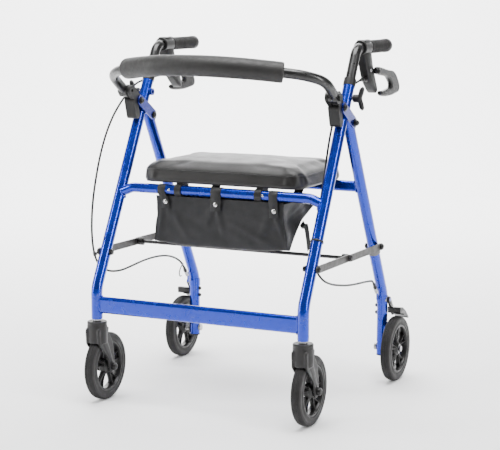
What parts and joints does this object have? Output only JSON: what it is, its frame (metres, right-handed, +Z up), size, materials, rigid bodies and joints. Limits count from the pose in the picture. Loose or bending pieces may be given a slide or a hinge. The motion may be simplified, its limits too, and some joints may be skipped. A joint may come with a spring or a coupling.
{
  "type": "rollator walker",
  "caption": "Folding four-wheeled walking frame with swivel casters, padded flip-up seat, pouch, curved backrest, sliding handles and loop brakes.",
  "frame": {"origin": "on the floor under the middle of the walker's box: on its plane of symmetry, midway between the front and rear axles", "axes": "+Z up, +Y towards the person who pushes it, +X to the right as seen from the front"},
  "size_m": [0.597, 0.5886, 0.804],
  "materials": {
    "blue_paint": "gloss, metallic",
    "blue_weld": "gloss",
    "zinc_steel": "zinc plated",
    "black_plastic": "fine moulded grain",
    "black_steel": "satin black",
    "black_tube": "semi-gloss black",
    "brace_grey": "satin",
    "saddle_grey": "matte",
    "tyre_rubber": "matte",
    "grip_rubber": "matte",
    "foam": "closed-cell foam",
    "vinyl": "satin vinyl",
    "board": "plain",
    "nylon": "woven nylon",
    "cable_black": "satin"
  },
  "bodies": {
    "front_frame": {"front_leg_left": "blue_paint", "front_leg_right": "blue_paint", "front_crossbar": "blue_paint", "seat_front_rail": "blue_paint", "pivot_brackets": "blue_paint", "frame_bolts": "zinc_steel", "leg_collars": "black_plastic", "caster_cups": "black_steel", "knob_nuts": "blue_weld", "backrest_brackets": "black_plastic", "pouch": "nylon", "brake_cable_left": "cable_black", "brake_cable_right": "cable_black"},
    "rear_frame": {"rear_leg_left": "blue_paint", "rear_leg_right": "blue_paint", "rear_crossbar": "blue_paint", "rear_leg_plugs": "black_plastic", "brace_saddles": "saddle_grey", "brace_rear_bolts": "zinc_steel", "rear_axles": "zinc_steel", "brake_brackets": "black_steel", "cable_adjusters": "zinc_steel"},
    "brace_front": {"brace_front_left": "brace_grey", "brace_front_right": "brace_grey", "fold_rod": "black_steel"},
    "brace_rear": {"brace_rear_left": "brace_grey", "brace_rear_right": "brace_grey"},
    "seat": {"seat_board": "board", "seat_cushion": "vinyl", "seat_clips": "black_steel"},
    "backrest": {"backrest_bar": "black_tube", "backrest_foam": "foam"},
    "caster_left": {"caster_fork_left": "black_plastic", "caster_stem_left": "zinc_steel", "front_axle_left": "zinc_steel"},
    "front_wheel_left": {"front_tyre_left": "tyre_rubber", "front_hub_left": "black_plastic"},
    "rear_wheel_left": {"rear_tyre_left": "tyre_rubber", "rear_hub_left": "black_plastic"},
    "handle_left": {"handle_tube_left": "black_tube", "grip_left": "grip_rubber", "brake_housing_left": "black_plastic"},
    "brake_lever_left": {"brake_lever_left": "black_plastic"},
    "brake_arm_left": {"brake_arm_left": "black_steel"},
    "adjust_knob_left": {"adjust_knob_left": "black_plastic"},
    "release_button_left": {"release_button_left": "black_plastic"},
    "caster_right": {"caster_fork_right": "black_plastic", "caster_stem_right": "zinc_steel", "front_axle_right": "zinc_steel"},
    "front_wheel_right": {"front_tyre_right": "tyre_rubber", "front_hub_right": "black_plastic"},
    "rear_wheel_right": {"rear_tyre_right": "tyre_rubber", "rear_hub_right": "black_plastic"},
    "handle_right": {"handle_tube_right": "black_tube", "grip_right": "grip_rubber", "brake_housing_right": "black_plastic"},
    "brake_lever_right": {"brake_lever_right": "black_plastic"},
    "brake_arm_right": {"brake_arm_right": "black_steel"},
    "adjust_knob_right": {"adjust_knob_right": "black_plastic"},
    "release_button_right": {"release_button_right": "black_plastic"}
  },
  "joints": [
    {"name": "rear_fold", "type": "hinge", "parent": "front_frame", "child": "rear_frame", "pos_m": [0, -0.01007, 0.627], "axis": [-1, 0, 0], "range_deg": [0, 30], "deforming": ["pouch", "brake_cable_left", "brake_cable_right"]},
    {"name": "brace_front_fold", "type": "hinge", "parent": "front_frame", "child": "brace_front", "pos_m": [0, -0.2093, 0.335], "axis": [1, 0, 0], "range_deg": [0, 48.5]},
    {"name": "brace_rear_fold", "type": "hinge", "parent": "rear_frame", "child": "brace_rear", "pos_m": [0, 0.15105, 0.329], "axis": [-1, 0, 0], "range_deg": [0, 36.4]},
    {"name": "seat_flip", "type": "hinge", "parent": "front_frame", "child": "seat", "pos_m": [0, -0.14117, 0.474], "axis": [1, 0, 0], "range_deg": [0, 80]},
    {"name": "backrest_flip", "type": "hinge", "parent": "front_frame", "child": "backrest", "pos_m": [0, -0.104, 0.688], "axis": [-1, 0, 0], "range_deg": [-80, 75]},
    {"name": "caster_swivel_left", "type": "hinge", "parent": "front_frame", "child": "caster_left", "pos_m": [-0.25, -0.2505, 0.17], "axis": [0, 0, 1], "continuous": true},
    {"name": "front_wheel_spin_left", "type": "hinge", "parent": "caster_left", "child": "front_wheel_left", "pos_m": [-0.25, -0.2181, 0.0762], "axis": [1, 0, 0], "continuous": true},
    {"name": "rear_wheel_spin_left", "type": "hinge", "parent": "rear_frame", "child": "rear_wheel_left", "pos_m": [-0.284, 0.2181, 0.0762], "axis": [1, 0, 0], "continuous": true},
    {"name": "handle_slide_left", "type": "slide", "parent": "front_frame", "child": "handle_left", "axis": [0, 0.4756, 0.8796], "range_m": [0, 0.15], "deforming": ["brake_cable_left"]},
    {"name": "adjust_knob_turn_left", "type": "hinge", "parent": "front_frame", "child": "adjust_knob_left", "pos_m": [-0.29, -0.02222, 0.681], "axis": [-1, 0, 0], "range_deg": [0, 540]},
    {"name": "brake_squeeze_left", "type": "hinge", "parent": "handle_left", "child": "brake_lever_left", "pos_m": [-0.268, 0.113, 0.733], "axis": [1, 0, 0], "range_deg": [0, 20], "stiffness_Nm_per_rad": 1.2, "springref_deg": -17.19},
    {"name": "brake_apply_left", "type": "hinge", "parent": "rear_frame", "child": "brake_arm_left", "pos_m": [-0.267, 0.2181, 0.192], "axis": [-1, 0, 0], "range_deg": [0, 3.3]},
    {"name": "release_press_left", "type": "slide", "parent": "backrest", "child": "release_button_left", "axis": [1, 0, 0], "range_m": [0, 0.0035], "stiffness_N_per_m": 600, "springref_m": -0.003},
    {"name": "caster_swivel_right", "type": "hinge", "parent": "front_frame", "child": "caster_right", "pos_m": [0.25, -0.2505, 0.17], "axis": [0, 0, 1], "continuous": true},
    {"name": "front_wheel_spin_right", "type": "hinge", "parent": "caster_right", "child": "front_wheel_right", "pos_m": [0.25, -0.2181, 0.0762], "axis": [1, 0, 0], "continuous": true},
    {"name": "rear_wheel_spin_right", "type": "hinge", "parent": "rear_frame", "child": "rear_wheel_right", "pos_m": [0.284, 0.2181, 0.0762], "axis": [1, 0, 0], "continuous": true},
    {"name": "handle_slide_right", "type": "slide", "parent": "front_frame", "child": "handle_right", "axis": [0, 0.4756, 0.8796], "range_m": [0, 0.15], "deforming": ["brake_cable_right"]},
    {"name": "adjust_knob_turn_right", "type": "hinge", "parent": "front_frame", "child": "adjust_knob_right", "pos_m": [0.29, -0.02222, 0.681], "axis": [1, 0, 0], "range_deg": [0, 540]},
    {"name": "brake_squeeze_right", "type": "hinge", "parent": "handle_right", "child": "brake_lever_right", "pos_m": [0.268, 0.113, 0.733], "axis": [1, 0, 0], "range_deg": [0, 20], "stiffness_Nm_per_rad": 1.2, "springref_deg": -17.19},
    {"name": "brake_apply_right", "type": "hinge", "parent": "rear_frame", "child": "brake_arm_right", "pos_m": [0.267, 0.2181, 0.192], "axis": [-1, 0, 0], "range_deg": [0, 3.3]},
    {"name": "release_press_right", "type": "slide", "parent": "backrest", "child": "release_button_right", "axis": [-1, 0, 0], "range_m": [0, 0.0035], "stiffness_N_per_m": 600, "springref_m": -0.003}
  ],
  "couplings": [
    {"joint": "brace_front_fold", "follows": "rear_fold", "ratio": 1.6104},
    {"joint": "brace_rear_fold", "follows": "rear_fold", "ratio": 1.2064},
    {"joint": "brake_apply_left", "follows": "brake_squeeze_left", "ratio": 0.16},
    {"joint": "brake_apply_right", "follows": "brake_squeeze_right", "ratio": 0.16}
  ]
}
